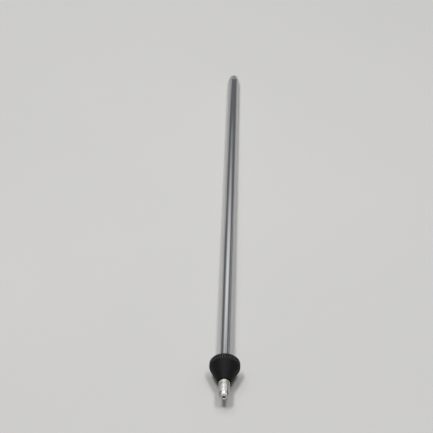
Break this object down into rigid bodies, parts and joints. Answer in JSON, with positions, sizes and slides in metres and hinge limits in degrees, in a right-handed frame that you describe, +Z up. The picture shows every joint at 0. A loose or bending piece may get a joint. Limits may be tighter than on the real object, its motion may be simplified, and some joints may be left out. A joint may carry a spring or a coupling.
{
  "type": "telescopic avalanche probe",
  "caption": "Collapsed telescopic snow probe: polished round tube, knurled conical twist-lock nut and a slim metal tip with an end socket.",
  "frame": {"origin": "centre of the bounding box's base, on the surface the probe lies on", "axes": "+Z up, +Y from the tip towards the tube's tail (the probe's long direction, tipped 1.22 degrees down towards the tail), +X across"},
  "size_m": [0.0311, 0.5004, 0.0312],
  "materials": {
    "polished_tube": "polished with fine lengthwise draw lines",
    "inner_tube": "ground and lightly oiled",
    "dark_steel": "dark, turned",
    "steel": "turned",
    "tail_alloy": "turned and polished",
    "ferrule_alloy": "turned",
    "collar_alloy": "bright turned",
    "tip_alloy": "satin, finely turned",
    "brass": "machined",
    "spring_bronze": "rolled",
    "nut_black": "matte, knurled rim",
    "collet_nylon": "moulded",
    "seal_rubber": "matte"
  },
  "bodies": {
    "outer": {"outer_tube": "polished_tube", "end_cap": "tail_alloy", "end_buffer": "seal_rubber", "nut_ferrule": "ferrule_alloy", "ferrule_o_ring": "seal_rubber", "collet": "collet_nylon"},
    "thrust": {"thrust_ring": "brass"},
    "nut": {"lock_nut": "nut_black", "wiper_ring": "seal_rubber"},
    "section_2": {"tube_2": "inner_tube", "tail_bush_2": "brass", "friction_ring_2": "spring_bronze", "mouth_collar": "collar_alloy", "collar_pin": "dark_steel"},
    "section_3": {"tube_3": "inner_tube", "tail_bush_3": "brass", "friction_ring_3": "spring_bronze"},
    "section_4": {"tube_4": "inner_tube", "tail_bush_4": "brass", "friction_ring_4": "spring_bronze"},
    "section_5": {"tube_5": "inner_tube", "tail_bush_5": "brass", "friction_ring_5": "spring_bronze", "stop_washer": "steel", "tip_body": "tip_alloy", "tip_stud": "steel", "tip_pin": "steel", "tip_insert": "steel"}
  },
  "joints": [
    {"name": "nut_twist", "type": "hinge", "parent": "thrust", "child": "nut", "pos_m": [0, -0.21666, 0.01577], "axis": [0, -0.9998, 0.0214], "range_deg": [0, 270]},
    {"name": "nut_travel", "type": "slide", "parent": "outer", "child": "thrust", "axis": [0, -0.9998, 0.0214], "range_m": [0, 0.00112]},
    {"name": "extend_2", "type": "slide", "parent": "outer", "child": "section_2", "axis": [0, -0.9998, 0.0214], "range_m": [0, 0.4245]},
    {"name": "extend_3", "type": "slide", "parent": "section_2", "child": "section_3", "axis": [0, -0.9998, 0.0214], "range_m": [0, 0.413]},
    {"name": "extend_4", "type": "slide", "parent": "section_3", "child": "section_4", "axis": [0, -0.9998, 0.0214], "range_m": [0, 0.391]},
    {"name": "extend_5", "type": "slide", "parent": "section_4", "child": "section_5", "axis": [0, -0.9998, 0.0214], "range_m": [0, 0.3655]}
  ],
  "couplings": [
    {"joint": "nut_travel", "follows": "nut_twist", "m_per_rad": 0.00023873}
  ]
}
